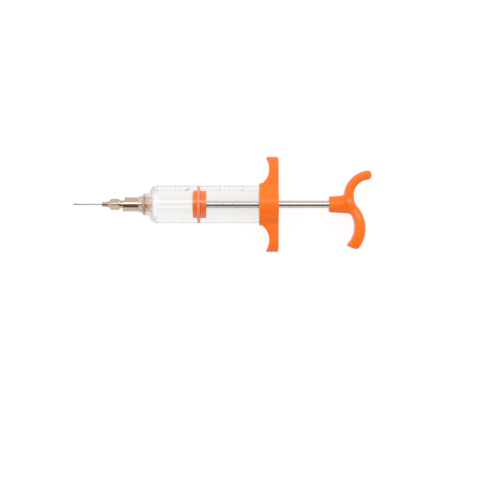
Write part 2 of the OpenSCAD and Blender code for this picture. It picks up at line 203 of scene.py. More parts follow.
def studio_sky():
    """Light that leans towards +Y, a band that only mirrors see, and white behind clear plastic."""
    world = bpy.data.worlds.new("studio_sky")
    tree = bare_tree(world)

    def background(colour, strength):
        return wire(tree, "ShaderNodeBackground", {"Color": colour, "Strength": strength})

    axes = axes_of(tree, add(tree, "ShaderNodeTexCoord").outputs["Generated"])
    band = add(tree, "ShaderNodeValToRGB", {0: calc(tree, "MULTIPLY_ADD", axes["Y"], 0.5, 0.5)})
    stops = band.color_ramp.elements
    while len(stops) < len(SKY_BAND):
        stops.new(0.5)
    for stop, (place, colour) in zip(stops, SKY_BAND):
        stop.position, stop.color = place, (*colour, 1)
    mirrored = background(band.outputs["Color"], 1)
    ambient = background(WHITE, calc(tree, "MULTIPLY_ADD", axes["Y"], SKY_LEAN, SKY_LEVEL))
    sharp = calc(tree, "LESS_THAN", seen_by(tree, "Diffuse Depth"), 0.5)
    image = calc(tree, "MULTIPLY", sharp, seen_by(tree, "Is Glossy Ray", "Is Transmission Ray"))
    low = calc(tree, "LESS_THAN", calc(tree, "ADD", axes["Z"], off_a_mirror(tree)), LOW_SKY)
    below = calc(tree, "MULTIPLY", sharp, low)
    passing = calc(tree, "MULTIPLY", below, seen_by(tree, "Is Transmission Ray"))
    plain = calc(tree, "MAXIMUM", passing, seen_by(tree, "Is Camera Ray"))
    sky = either(tree, plain, either(tree, image, ambient, mirrored), background(WHITE, 1))
    add(tree, "ShaderNodeOutputWorld", {"Surface": sky})
    return world


bpy.context.scene.world = studio_sky()
print("sky:", len(SKY_BAND), "stops in the mirrored band")

# %% Lamps
LAMP_AIM, LAMP_DISTANCE, KEY_TILT = Vector((-0.02, 0, 0)), 1.2, math.radians(17)


def soft_box(name, toward, size, power):
    """A lamp of that size in metres, in that direction from the syringe."""
    lamp = bpy.data.lights.new(name, "AREA")
    lamp.shape, lamp.size, lamp.size_y, lamp.energy = "RECTANGLE", *size, power
    holder = put(name, lamp)
    toward = Vector(toward).normalized()
    holder.location = LAMP_AIM + toward * LAMP_DISTANCE
    holder.rotation_euler = toward.to_track_quat("Z", "Y").to_euler()
    return holder


key = soft_box("key_box", (0, math.sin(KEY_TILT), math.cos(KEY_TILT)), (0.6, 0.3), 1.25)
side = soft_box("side_box", (0.5, 0.8, 0.35), (0.5, 0.5), 1.2)
bpy.context.scene.view_settings.view_transform = "Standard"
print("lamps:", key.name, side.name)

# %% [markdown]
# ## Shared surface effects
# Used things share small faults: scuffs that dull the gloss in patches, edges rubbed bright, and
# fine lines left by turning. On the orange plastic the paler edges are partly rubbed wear and partly
# a painted highlight on every convex edge. Each effect is one shader node group with named inputs,
# built once and placed in every finish that needs it with that finish's own values.


# %% Helpers for effects
def node_group(name, tree, inputs, output):
    """A group with these named sockets, and what its inputs give."""
    group = bpy.data.node_groups.new(name, tree + "NodeTree")
    for way, sockets in (("INPUT", inputs), ("OUTPUT", output)):
        for label, kind in sockets.items():
            group.interface.new_socket(label, in_out=way, socket_type="NodeSocket" + kind)
    return group, group.nodes.new("NodeGroupInput").outputs


def own_place(tree):
    return add(tree, "ShaderNodeTexCoord").outputs["Object"]


def noise(tree, where, scale, detail, **more):
    return wire(tree, "ShaderNodeTexNoise", {
        "Vector": where, "Scale": scale, "Detail": detail, **more})


def ramp(tree, value, start, end, low=0.0, high=1.0):
    """From low, where the value is start, to high, where it is end, and level beyond."""
    return wire(tree, "ShaderNodeMapRange", {
        "Value": value, "From Min": start, "From Max": end, "To Min": low, "To Max": high})


# %% Scuffs
def handling_scuffs():
    """Soft patches and fine hairlines, from 0 to 1."""
    group, given = node_group("handling_scuffs", "Shader", {
        "Patch Scale": "Float", "Hairline Scale": "Float", "Stretch": "Vector"}, {"Scuff": "Float"})
    where = own_place(group)
    drawn = wire(group, "ShaderNodeMapping", {"Vector": where, "Scale": given["Stretch"]})
    patches = ramp(group, noise(group, where, given["Patch Scale"], 4.0), 0.42, 0.7)
    fine = noise(group, drawn, given["Hairline Scale"], 3.0, Roughness=0.7)
    hairlines = ramp(group, fine, 0.5, 0.75)
    total = calc(group, "MULTIPLY_ADD", hairlines, 0.5, calc(group, "MULTIPLY", patches, 0.6))
    add(group, "NodeGroupOutput", {"Scuff": total})
    return group


SCUFFS = handling_scuffs()
print("effect", SCUFFS.name, "with", len(SCUFFS.nodes), "nodes")


# %% Rubbed edges and painted edge sheen
def rubbed_edges():
    """The edge attribute of a piece, broken up, from 0 to 1: rubbed wear, and on orange plastic a
    painted edge highlight.
    """
    group, given = node_group("rubbed_edges", "Shader", {
        "Amount": "Float", "Break Scale": "Float"}, {"Rub And Sheen": "Float"})
    edge = add(group, "ShaderNodeAttribute", attribute_name="edge").outputs["Fac"]
    uneven = ramp(group, noise(group, own_place(group), given["Break Scale"], 3.0), 0.35, 0.62)
    total = calc(group, "MULTIPLY", calc(group, "MULTIPLY", edge, uneven), given["Amount"])
    add(group, "NodeGroupOutput", {"Rub And Sheen": total})
    return group


RUB_AND_SHEEN = rubbed_edges()
print("effect", RUB_AND_SHEEN.name, "with", len(RUB_AND_SHEEN.nodes), "nodes")


# %% Turning lines
def turning_lines():
    """Fine rings along X, as a lathe tool leaves them."""
    group, given = node_group("turning_lines", "Shader", {
        "Lines Scale": "Float"}, {"Height": "Float"})
    along = calc(group, "MULTIPLY", axes_of(group, own_place(group))["X"], given["Lines Scale"])
    rings = wire(group, "ShaderNodeTexNoise", {
        "W": along, "Scale": 1.0, "Detail": 2.0}, noise_dimensions="1D")
    add(group, "NodeGroupOutput", {"Height": rings})
    return group


TURNING = turning_lines()
print("effect", TURNING.name, "with", len(TURNING.nodes), "nodes")

# %% [markdown]
# ## Finishes
# Every finish is one Principled shader. What is the same all over is set on its own sockets; what
# changes over the surface comes from the groups above and feeds colour, roughness and bump.


# %% Building a finish
def finish_of(name, constants):
    finish = bpy.data.materials.new(name)
    finish.use_nodes = True
    tree = finish.node_tree
    return finish, tree, feed(tree, tree.nodes["Principled BSDF"], constants)


def placed(tree, group, inputs):
    return wire(tree, "ShaderNodeGroup", inputs, node_tree=group)


def tint(tree, mask, plain, changed):
    """The first colour where the mask is 0, the second where it is 1."""
    first, second = (c if isinstance(c, bpy.types.NodeSocket) else (*c, 1) for c in (plain, changed))
    return add(tree, "ShaderNodeMix", {0: mask, 6: first, 7: second}, data_type="RGBA").outputs[2]


def bumped(tree, shader, height, strength, distance):
    feed(tree, shader, {"Normal": wire(tree, "ShaderNodeBump", {
        "Height": height, "Strength": strength, "Distance": distance})})


# %% [markdown]
# ### Orange plastic
# The grip, the handle and the piston's plates are one glossy orange plastic. A flat colour would
# look like paint, so the melt mottles it faintly and scuffs change its gloss. Convex edges are
# paler, partly as rubbed wear and partly as a painted highlight.
# The two halves of the handle's mould leave a fine raised line round it, where Z is 0.

# %% Orange moulded plastic
SEAM_TOP, SEAM_FOOT = 0.04, 0.14


def orange_plastic(name, seam):
    """Mottled, scuffed plastic with paler edges, partly rubbed and partly a painted highlight, and,
    with seam, a parting line.
    """
    finish, tree, shader = finish_of(name, {"IOR": 1.5, "Specular IOR Level": 0.4})
    scuff = placed(tree, SCUFFS, {
        "Patch Scale": 70.0, "Hairline Scale": 900.0, "Stretch": (0.35, 1, 1)})
    # Convex edges get a paler colour: partly rubbed wear, partly a painted highlight along them.
    edge_rub_and_sheen = placed(tree, RUB_AND_SHEEN, {"Amount": 0.35, "Break Scale": 350.0})
    where = own_place(tree)
    melt = noise(tree, where, 45.0, 3.0, Distortion=0.6)
    mottled = tint(tree, melt, (0.98, 0.155, 0.004), (1.0, 0.185, 0.006))
    feed(tree, shader, {"Base Color": tint(tree, edge_rub_and_sheen, mottled, (1.0, 0.3, 0.04)),
                        "Roughness": ramp(tree, scuff, 0, 1, 0.13, 0.32)})
    height = calc(tree, "MULTIPLY", noise(tree, where, 1600.0, 2.0), 0.25)
    if seam:
        off = calc(tree, "ABSOLUTE", axes_of(tree, where)["Z"])
        height = calc(tree, "ADD", height, ramp(tree, off, SEAM_FOOT * MM, SEAM_TOP * MM))
    bumped(tree, shader, height, 0.35, 0.02 * MM)
    return finish


ORANGE = orange_plastic("orange_moulding", seam=False)
ORANGE_SEAMED = orange_plastic("orange_moulding_with_seam", seam=True)
print("made", ORANGE.name, ORANGE_SEAMED.name)

# %% [markdown]
# ### Bright metals
# The rod is chromed, the tip and the needle's hub are brass with a warm plating, and the needle is
# drawn steel. All are one recipe with other values. Scuffs run along a drawn rod and round a turned
# piece, so each metal can say how they are stretched.


# %% Bright metals
def bright_metal(name, plain, dulled, gloss, stretch=(1, 0.3, 0.3), rubbed=None, lines=0.0):
    """Scuffs dull it, rubbed edges show the metal below, and turning leaves lines."""
    finish, tree, shader = finish_of(name, {"Metallic": 1.0})
    scuff = placed(tree, SCUFFS, {
        "Patch Scale": 160.0, "Hairline Scale": 1400.0, "Stretch": stretch})
    colour = tint(tree, scuff, plain, dulled)
    if rubbed:
        colour = tint(tree, placed(tree, RUB_AND_SHEEN, {"Amount": 0.8, "Break Scale": 700.0}), colour, rubbed)
    feed(tree, shader, {"Base Color": colour, "Roughness": ramp(tree, scuff, 0, 1, *gloss)})
    if lines:
        bumped(tree, shader, placed(tree, TURNING, {"Lines Scale": 9000.0}), lines, 0.004 * MM)
    return finish


CHROME = bright_metal("chromed_rod", (0.82, 0.81, 0.79), (0.74, 0.73, 0.71), (0.09, 0.2),
                      (0.05, 1, 1))
NICKEL = bright_metal("nickel_plating", (0.82, 0.69, 0.55), (0.75, 0.62, 0.48), (0.1, 0.24),
                      rubbed=(0.8, 0.6, 0.3), lines=0.2)
POLISHED = bright_metal("polished_flats", (0.94, 0.89, 0.81), (0.88, 0.82, 0.73), (0.16, 0.3))
BRASS = bright_metal("turned_brass", (0.86, 0.68, 0.47), (0.76, 0.57, 0.38), (0.26, 0.44), lines=0.4)
STAINLESS = bright_metal("drawn_stainless", (0.9, 0.9, 0.9), (0.82, 0.82, 0.81), (0.26, 0.42),
                         (0.04, 1, 1))
print("made", CHROME.name, NICKEL.name, POLISHED.name, BRASS.name, STAINLESS.name)

# %% [markdown]
# ### Rubber, sealant and ink
# The piston's ring is salmon silicone, the washer behind the hexagon is pink, and pinkish sealant
# covers the stud's thread so thinly that the metal glints through. The scale's red ink is as matt
# as rubber, so it shares the recipe.


# %% Silicone rubber, sealant and ink
def silicone(name, plain, dusty, gloss, metal=0.0):
    """Satin rubber, lighter in patches of dust; thin on metal, it glints by that share."""
    finish, tree, shader = finish_of(name, {"IOR": 1.42, "Metallic": metal})
    scuff = placed(tree, SCUFFS, {
        "Patch Scale": 260.0, "Hairline Scale": 1500.0, "Stretch": (1, 1, 1)})
    feed(tree, shader, {"Base Color": tint(tree, scuff, plain, dusty),
                        "Roughness": ramp(tree, scuff, 0, 1, *gloss)})
    bumped(tree, shader, scuff, 0.2, 0.02 * MM)
    return finish


SALMON = silicone("salmon_ring", (1.0, 0.25, 0.13), (1.0, 0.31, 0.18), (0.38, 0.6))
PINK = silicone("pink_washer", (0.58, 0.37, 0.31), (0.64, 0.44, 0.38), (0.4, 0.62))
SEALANT = silicone("thread_sealant", (0.92, 0.76, 0.68), (1.0, 0.88, 0.81), (0.1, 0.2), metal=0.7)
INK = silicone("red_ink", (0.38, 0.05, 0.045), (0.44, 0.09, 0.08), (0.45, 0.6))
print("made", SALMON.name, PINK.name, SEALANT.name, INK.name)

# %% [markdown]
# ### Clear plastic
# The barrel is clear, and its neck takes a warm tint from the thread inside. Light that bends in a
# thick curved wall needs many samples, and with few it comes out dark. So lamps and diffuse light
# pass unbent, and towards the shoulder a lower alpha also lets part of the view through.

# %% Clear plastic
NECK_TINT_X, SHOULDER_FADE_X = (-70.8, -72.2), (-66.5, -70.2)
PLAIN_CLEAR, NECK_CLEAR = (0.955, 0.955, 0.95), (0.94, 0.77, 0.67)
PASSED_LIGHT, SHOULDER_ALPHA = (0.985, 0.985, 0.98, 1), 0.4


def clear_plastic():
    finish, tree, shader = finish_of("clear_barrel", {
        "IOR": 1.46, "Specular IOR Level": 0.09, "Roughness": 0.015, "Transmission Weight": 1.0})
    where = own_place(tree)
    along = calc(tree, "DIVIDE", axes_of(tree, where)["X"], MM)
    neck = ramp(tree, along, *NECK_TINT_X)
    feed(tree, shader, {"Base Color": tint(tree, neck, PLAIN_CLEAR, NECK_CLEAR),
                        "Alpha": ramp(tree, along, *SHOULDER_FADE_X, 1.0, SHOULDER_ALPHA)})
    bumped(tree, shader, noise(tree, where, 60.0, 1.0), 0.06, 0.05 * MM)
    past = wire(tree, "ShaderNodeBsdfTransparent", {"Color": PASSED_LIGHT})
    unbent = seen_by(tree, "Is Shadow Ray", "Is Diffuse Ray")
    surface = either(tree, unbent, shader.outputs[0], past)
    feed(tree, tree.nodes["Material Output"], {"Surface": surface})
    return finish


CLEAR = clear_plastic()
print("made", CLEAR.name)

# %% [markdown]
# ## One rule for the turned pieces
# Most of a syringe is turned: a profile goes once round the axis, and some stretches are then milled
# to flats, as on the hub's square. A Screw modifier could spin the profile, but it can't mill flats.
# This Geometry Nodes tree does both: a grid has one row per profile point, and Set Position carries
# each row round the axis, with its radius held under the flats that its point asks for.


# %% Starting and ending a Geometry Nodes tree
def geo(tree, kind, inputs=None, **settings):
    return wire(tree, "GeometryNode" + kind, inputs, **settings)


def piece_tree(name, inputs):
    """A tree with these inputs and a Finish, which makes one Piece."""
    return node_group(name, "Geometry", {**inputs, "Finish": "Material"}, {"Piece": "Geometry"})


def end_tree(tree, given, made):
    real = geo(tree, "RealizeInstances", {0: made})
    done = geo(tree, "SetMaterial", {0: real, "Material": given["Finish"]})
    add(tree, "NodeGroupOutput", {"Piece": done})
    print("tree", tree.name, "with", len(tree.nodes), "nodes")
    return tree


def vector(tree, x=0.0, y=0.0, z=0.0):
    return wire(tree, "ShaderNodeCombineXYZ", {"X": x, "Y": y, "Z": z})


def round_axis(tree, x, radius, angle):
    """The place at that radius and angle round the axis; the angle goes from +Z towards +Y."""
    y, z = (calc(tree, "MULTIPLY", radius, calc(tree, way, angle)) for way in ("SINE", "COSINE"))
    return vector(tree, x, y, z)


# %% The turned-piece tree
LEAST_COSINE = 0.02


def turned_tree():
    tree, given = piece_tree("turned_piece", {
        "Profile": "Geometry", "Steps": "Int", "Flat Softness": "Float"})
    count = geo(tree, "AttributeDomainSize", {0: given["Profile"]})
    columns = calc(tree, "ADD", given["Steps"], 1.0)
    grid = geo(tree, "MeshGrid", {"Vertices X": count, "Vertices Y": columns})
    index = geo(tree, "InputIndex")
    row = calc(tree, "FLOOR", calc(tree, "DIVIDE", calc(tree, "ADD", index, 0.5), columns))
    column = calc(tree, "SUBTRACT", index, calc(tree, "MULTIPLY", row, columns))

    def of_profile(kind, value):
        return geo(tree, "SampleIndex", {0: given["Profile"], "Value": value, "Index": row},
                   data_type=kind)

    def named(kind, name):
        return of_profile(kind, geo(tree, "InputNamedAttribute", {"Name": name}, data_type=kind))

    place = axes_of(tree, of_profile("FLOAT_VECTOR", geo(tree, "InputPosition")))
    milled = axes_of(tree, named("FLOAT_VECTOR", "milled"))
    angle = calc(tree, "MULTIPLY", column, calc(tree, "DIVIDE", math.tau, given["Steps"]))
    half = calc(tree, "DIVIDE", math.pi, calc(tree, "MAXIMUM", milled["X"], 1.0))
    off = calc(tree, "WRAP", calc(tree, "SUBTRACT", angle, milled["Z"]), half,
               calc(tree, "MULTIPLY", half, -1.0))
    flat = calc(tree, "DIVIDE", calc(tree, "MULTIPLY", milled["Y"], 0.5),
                calc(tree, "MAXIMUM", calc(tree, "COSINE", off), LEAST_COSINE))
    held = calc(tree, "SMOOTH_MIN", place["Y"], flat, given["Flat Softness"])
    target = round_axis(tree, place["X"], calc(tree, "MAXIMUM", held, 0.0), angle)
    edge = named("FLOAT", "edge")
    kept = geo(tree, "StoreNamedAttribute", {0: grid, "Name": "edge", "Value": edge})
    moved = geo(tree, "SetPosition", {0: kept, "Position": target})
    closed = geo(tree, "MergeByDistance", {0: moved, "Distance": 0.001 * MM})
    return end_tree(tree, given, geo(tree, "SetShadeSmooth", {0: closed}))


TURNED = turned_tree()


# %% Running a tree and keeping its mesh
def kept_mesh(piece):
    """Turns what the modifiers make into the piece's own mesh, closed and facing outwards."""
    graph = bpy.context.evaluated_depsgraph_get()
    made = bpy.data.meshes.new_from_object(
        piece.evaluated_get(graph), preserve_all_data_layers=True, depsgraph=graph)
    piece.modifiers.clear()
    old, piece.data = piece.data, made
    bpy.data.meshes.remove(old)
    work = bmesh.new()
    work.from_mesh(made)
    bmesh.ops.remove_doubles(work, verts=work.verts, dist=0.0005 * MM)
    bmesh.ops.dissolve_degenerate(work, edges=work.edges, dist=0.0002 * MM)
    bmesh.ops.recalc_face_normals(work, faces=work.faces)
    work.to_mesh(made)
    work.free()
    made.name = piece.name
    return piece


def grown(piece, tree, values):
    """Runs a tree on the piece with these values, each set by its socket's identifier."""
    modifier = piece.modifiers.new(tree.name, "NODES")
    modifier.node_group = tree
    for item in tree.interface.items_tree:
        if item.in_out == "INPUT" and item.name in values:
            modifier[item.identifier] = values[item.name]
    return kept_mesh(piece)


# %% [markdown]
# A profile is a list of corners in millimetres: place along X, radius, rounding and, if milled,
# (number of flats, width across them, turn). Each rounded corner becomes an arc with a point just
# outside each end, so that smooth shading stays inside the rounding.

# %% Rounded corners of a profile
ARC_STEPS, MOST_OF_SIDE = 5, 0.45
SPARE, MOST_SPARE = 0.06, 0.2


def rounded_corner(before, here, after, size):
    """An arc of that size in the corner, with a point just outside each end, and its turn."""
    to_before, to_after = (before - here).normalized(), (after - here).normalized()
    half = to_before.angle(to_after) / 2
    shorter = min((before - here).length, (after - here).length)
    size = min(size, MOST_OF_SIDE * shorter * math.tan(half))
    reach = size / math.tan(half)
    centre = here + (to_before + to_after).normalized() * (size / math.sin(half))
    start, end = here + to_before * reach - centre, here + to_after * reach - centre
    first = math.atan2(start.y, start.x)
    turn = (math.atan2(end.y, end.x) - first + math.pi) % math.tau - math.pi
    angles = [first + turn * k / ARC_STEPS for k in range(ARC_STEPS + 1)]
    arc = [centre + size * Vector((math.cos(angle), math.sin(angle))) for angle in angles]
    spare = min(SPARE, MOST_SPARE * reach)
    return [arc[0] + to_before * spare, *arc, arc[-1] + to_after * spare], turn


# %% Points of a profile
NO_FLATS, MILLED_STEP = (0, 2000, 0), 0.25


def profile_points(corners, closed):
    """(place, edge, milled) for every point of a profile, with milled stretches cut fine."""
    places = [Vector(c[:2]) for c in corners]
    area = sum(a.x * b.y - b.x * a.y for a, b in zip(places, places[1:] + places[:1]))
    out = []
    for i, corner in enumerate(corners):
        size = corner[2] if len(corner) > 2 else 0
        milled = corner[3] if len(corner) > 3 else NO_FLATS
        if not size or (not closed and i in (0, len(corners) - 1)):
            out.append((places[i], 0.0, milled))
            continue
        arc, turn = rounded_corner(places[i - 1], places[i], places[(i + 1) % len(corners)], size)
        # Convex corners are marked for rubbed wear and, on orange plastic, a painted edge highlight.
        edge_rub_and_sheen = 1.0 if turn * area > 0 else 0.0
        out += [(p, edge_rub_and_sheen if 0 < k < len(arc) - 1 else 0.0, milled) for k, p in enumerate(arc)]
    if closed:
        out.append(out[0])
    fine = out[:1]
    for a, b in zip(out, out[1:]):
        cuts = math.ceil((b[0] - a[0]).length / MILLED_STEP) if a[2] == b[2] != NO_FLATS else 1
        fine += [(a[0].lerp(b[0], k / cuts), a[1], b[2]) for k in range(1, cuts)] + [b]
    return fine


# %% Turning a piece
def mark(piece, name, kind, key, values):
    piece.data.attributes.new(name, kind, "POINT").data.foreach_set(key, values)


def turned(name, corners, finish, closed=True, steps=128, softness=0.05):
    """A piece turned from corners, closed as a ring or with both ends on the axis."""
    points = profile_points(corners, closed)
    piece = new_piece(name, [(p.x * MM, p.y * MM, 0) for p, _, _ in points],
                      [(i, i + 1) for i in range(len(points) - 1)])
    milled = [v for _, _, (n, across, turn) in points for v in (n, across * MM, math.radians(turn))]
    mark(piece, "edge", "FLOAT", "value", [e for _, e, _ in points])
    mark(piece, "milled", "FLOAT_VECTOR", "vector", milled)
    return grown(piece, TURNED, {"Steps": steps, "Flat Softness": softness * MM, "Finish": finish})


# %% Settling a piece on its body
SHARP = math.radians(38)


def settle(piece, body, node=None):
    """Puts it on its body and in its node's place, and prints how its box fits."""
    if not piece.data.has_custom_normals:
        piece.data.set_sharp_from_angle(angle=SHARP)
    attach(piece, body)
    fit = ""
    if node:
        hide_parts(node)
        spots = np.array([v.co for v in piece.data.vertices])
        off = np.abs(np.array([spots.min(0), spots.max(0)]) - np.array(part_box(node))).max()
        fit = ", box within %.2f mm of the CAD" % (off / MM)
    print("%s: %d faces on %s%s" % (piece.name, len(piece.data.polygons), body, fit))


# %% [markdown]
# ## Needle
# The needle is a drawn steel tube, ground to a slanted point, in a plated brass hub. The hub is
# turned, its middle is milled square to take a grip, and two lugs at its back lock in the collar.
# The tube starts as a plain turned ring, and its front is then slid back onto the grinding plane:
# a boolean could cut the point, but sliding keeps the ring's clean faces.

# %% Needle tube
TIP_X, TUBE_BACK_X = (corner.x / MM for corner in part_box("cannula"))
TUBE_R, TUBE_BORE_R, GRIND = 0.55, 0.35, math.radians(16)
tube = turned("needle_tube", [
    (TIP_X, TUBE_BORE_R), (TIP_X, TUBE_R), (TUBE_BACK_X, TUBE_R, 0.05),
    (TUBE_BACK_X, TUBE_BORE_R)], STAINLESS, steps=48)
for vertex in tube.data.vertices:
    if vertex.co.x < (TIP_X + TUBE_R) * MM:
        vertex.co.x += (vertex.co.z + TUBE_R * MM) / math.tan(GRIND)
settle(tube, "needle", "cannula")

# %% Needle hub
NOSE_X, HUB_BACK_X = (corner.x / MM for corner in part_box("needle_hub"))
LUG_X, SQUARE_BACK_X, SQUARE_LEN, CHAMFER = HUB_BACK_X - 1.5, HUB_BACK_X - 6.4, 8, 1.7
SQUARE_X = SQUARE_BACK_X - SQUARE_LEN
NOSE_END_X, NICK_X = SQUARE_X - 0.5, SQUARE_X - 0.35
TUBE_HOLE_R, NOSE_R, NOSE_END_R, NICK_R, SQUARE_FACE_R, CORNER_R = 0.6, 1.6, 1.86, 1.7, 2.0, 3.8
HUB_NECK_R, LUG_R, SOCKET_R, SOCKET_END_R = 2.6, 3.85, 2.22, 1.86
SQUARE, LUGS = (4, 6.2, 45), (2, 5.4, 90)
settle(turned("needle_hub_turned", [
    (NOSE_X, TUBE_HOLE_R, 0.05), (NOSE_X, NOSE_R, 0.3), (NOSE_END_X, NOSE_END_R, 0.1),
    (NICK_X, NICK_R, 0.05), (SQUARE_X, NICK_R, 0.05), (SQUARE_X, SQUARE_FACE_R, 0.05),
    (SQUARE_X + CHAMFER, CORNER_R, 0.15, SQUARE), (SQUARE_BACK_X - CHAMFER, CORNER_R, 0.15, SQUARE),
    (SQUARE_BACK_X, HUB_NECK_R, 0.1), (LUG_X, HUB_NECK_R, 0.1), (LUG_X, LUG_R, 0.12, LUGS),
    (HUB_BACK_X, LUG_R, 0.12, LUGS), (HUB_BACK_X, SOCKET_R, 0.12), (TUBE_BACK_X, SOCKET_END_R),
    (TUBE_BACK_X, TUBE_HOLE_R)], NICKEL, steps=160), "needle", "needle_hub")

# %% [markdown]
# ## Luer fitting
# A turned brass tip with a plated finish: a cone in a locking collar, a hexagon with polished flats
# and a threaded stud that screws into the clear neck. The collar's mouth is cut at a slant, so that
# the lugs find the thread. A thread repeats along a path, so Geometry Nodes make it: a Spiral curve
# is the path, and Curve to Mesh sweeps a ridge along it.

# %% Collar, hexagon and stud
CONE_X, MOUTH_X, RECESS_X, HEX_X, HEX_BACK_X, ZERO_X = -91.3, -89.3, -81.3, -80.3, -77.4, -71.0
CHANNEL_R, CONE_TIP_R, CONE_ROOT_R, COLLAR_BORE_R, COLLAR_R = 1.0, 1.975, 2.275, 4.05, 4.75
UNDERCUT_X, UNDERCUT_FLOOR_X, UNDERCUT_R = HEX_X - 0.35, HEX_X - 0.3, COLLAR_R - 0.2
HEX_FACE_R, HEX_R, HEX_EDGE, STUD_R = 5.35, 5.85, 0.5, 4.55
LIP_LEAD, LIP_DEPTH, POLISHED_FROM_R, HEXAGON = 1.7, 0.4, 4.845, (6, 10.8, 30)
fitting = turned("luer_tip", [
    (CONE_X, CHANNEL_R, 0.1), (CONE_X, CONE_TIP_R, 0.15), (RECESS_X, CONE_ROOT_R, 0.2),
    (RECESS_X, COLLAR_BORE_R, 0.2), (MOUTH_X, COLLAR_BORE_R, 0.15), (MOUTH_X, COLLAR_R, 0.15),
    (UNDERCUT_X, COLLAR_R, 0.05), (UNDERCUT_FLOOR_X, UNDERCUT_R, 0.05), (HEX_X, UNDERCUT_R, 0.05),
    (HEX_X, HEX_FACE_R, 0.1, HEXAGON), (HEX_X + HEX_EDGE, HEX_R, 0.12, HEXAGON),
    (HEX_BACK_X - HEX_EDGE, HEX_R, 0.12, HEXAGON), (HEX_BACK_X, HEX_FACE_R, 0.1, HEXAGON),
    (HEX_BACK_X, STUD_R, 0.05), (ZERO_X, STUD_R, 0.3), (ZERO_X, CHANNEL_R, 0.1)], NICKEL, steps=168)
for vertex in fitting.data.vertices:
    on_collar = math.hypot(vertex.co.y, vertex.co.z) > (CONE_ROOT_R + COLLAR_BORE_R) / 2 * MM
    if on_collar and vertex.co.x < (MOUTH_X + LIP_DEPTH) * MM:
        vertex.co.x -= LIP_LEAD * MM * (0.5 - vertex.co.y / (2 * COLLAR_R * MM))
fitting.data.materials.append(POLISHED)
for face in fitting.data.polygons:
    wide = math.hypot(face.center.y, face.center.z) > POLISHED_FROM_R * MM
    if wide and HEX_X * MM < face.center.x < HEX_BACK_X * MM:
        face.material_index = len(fitting.data.materials) - 1
settle(fitting, "barrel", "luer_fitting")

# %% The thread tree
CUTS_PER_TURN, RIDGE_SIDES = 72, 6


def thread_tree():
    tree, given = piece_tree("thread_ridge", dict.fromkeys(
        ("Turns", "Pitch", "Radius", "Ridge", "Start", "Phase"), "Float"))
    height = calc(tree, "MULTIPLY", given["Turns"], given["Pitch"])
    path = geo(tree, "CurveSpiral", {
        "Resolution": CUTS_PER_TURN, "Rotations": given["Turns"], "Height": height,
        "Start Radius": given["Radius"], "End Radius": given["Radius"]})
    ridge = geo(tree, "CurvePrimitiveCircle", {"Resolution": RIDGE_SIDES, "Radius": given["Ridge"]})
    swept = geo(tree, "CurveToMesh", {0: path, 1: ridge, "Fill Caps": True})
    spun = geo(tree, "Transform", {0: swept, "Rotation": vector(tree, z=given["Phase"])})
    laid = geo(tree, "Transform", {
        0: spun, "Translation": vector(tree, given["Start"]), "Rotation": (0, math.pi / 2, 0)})
    return end_tree(tree, given, geo(tree, "SetShadeSmooth", {0: laid}))


THREAD = thread_tree()


# %% Threads on the stud and in the collar
def threaded(name, finish, start, turns, pitch, radius, ridge, phase=0.0):
    return grown(new_piece(name, [(0, 0, 0)]), THREAD, {
        "Turns": turns, "Pitch": pitch * MM, "Radius": radius * MM, "Ridge": ridge * MM,
        "Start": start * MM, "Phase": phase, "Finish": finish})


settle(threaded("stud_thread", SEALANT, start=-76.1, turns=4.6, pitch=1.05, radius=STUD_R,
                ridge=0.5), "barrel")
for name, phase in (("collar_thread", 0.0), ("collar_thread_2", math.pi)):
    settle(threaded(name, NICKEL, start=-87.4, turns=2.2, pitch=2.5, radius=4.14, ridge=0.22,
                    phase=phase), "barrel")

# %% [markdown]
# ## Gasket and barrel
# A pink washer seals the fitting against the neck. The barrel is one clear moulding: a threaded
# neck, a round shoulder, a straight bore and a spigot that the grip screws over. Clear plastic needs
# a true inner wall, because its look comes from light that bends at both surfaces. Solidify could
# thicken a single skin, but the wall isn't even, so the profile draws both of its sides.

# %% Gasket and barrel
NECK_X, SHOULDER_X, SHOULDER_R, SHOULDER_STEPS, SPIGOT_X = -76.4, -73.3, 4.9, 16, 8.6
GASKET_R, NECK_R, BARREL_R, BORE_R, SPIGOT_R, HOLE_R = 7.0, 7.6, 12.5, 10.3, 11.5, 4.85
settle(turned("tip_washer", [
    (HEX_BACK_X, HOLE_R, 0.15), (HEX_BACK_X, GASKET_R, 0.3), (NECK_X, GASKET_R, 0.3),
    (NECK_X, HOLE_R, 0.15)], PINK), "barrel", "tip_gasket")

turns = [math.pi / 2 * k / SHOULDER_STEPS for k in range(1, SHOULDER_STEPS + 1)]
SHOULDER = [(SHOULDER_X + SHOULDER_R - SHOULDER_R * math.cos(turn),
             NECK_R + SHOULDER_R * math.sin(turn)) for turn in turns]
settle(turned("clear_barrel_moulding", [
    (NECK_X, HOLE_R, 0.1), (NECK_X, NECK_R, 0.4), (SHOULDER_X, NECK_R, 0.2), *SHOULDER,
    (0, BARREL_R, 0.15), (0, SPIGOT_R, 0.15), (SPIGOT_X, SPIGOT_R, 0.3), (SPIGOT_X, BORE_R, 0.3),
    (ZERO_X, BORE_R, 0.9), (ZERO_X, HOLE_R, 0.15)], CLEAR, steps=160),
    "barrel", "barrel")

# %% [markdown]
# ## Printed scale
# A 20 ml bore of this diameter holds one millilitre every 3 mm, so the scale has 21 ticks. Ticks
# repeat along a line, so Geometry Nodes instance one thin bar on a row of points, stretch every
# fifth, and bend the flat row onto the barrel. The photograph shows no scale, so it is on the tang's
# side of the barrel, nearly edge on to the camera; one short slanted stroke lies in view. The numbers
# start as text, which becomes a mesh and is cut into strips so that it can bend too.

# %% The scale tree
ML, TICKS, TICK_CUTS, LONG_EVERY = 3, 21, 9, 5
TICK_W, SHORT_TICK, LONG_TICK = 0.35, 2.1, 3.4
SCALE_ANGLE, INK_R, INK_T = math.radians(88), BARREL_R + 0.012, 0.03


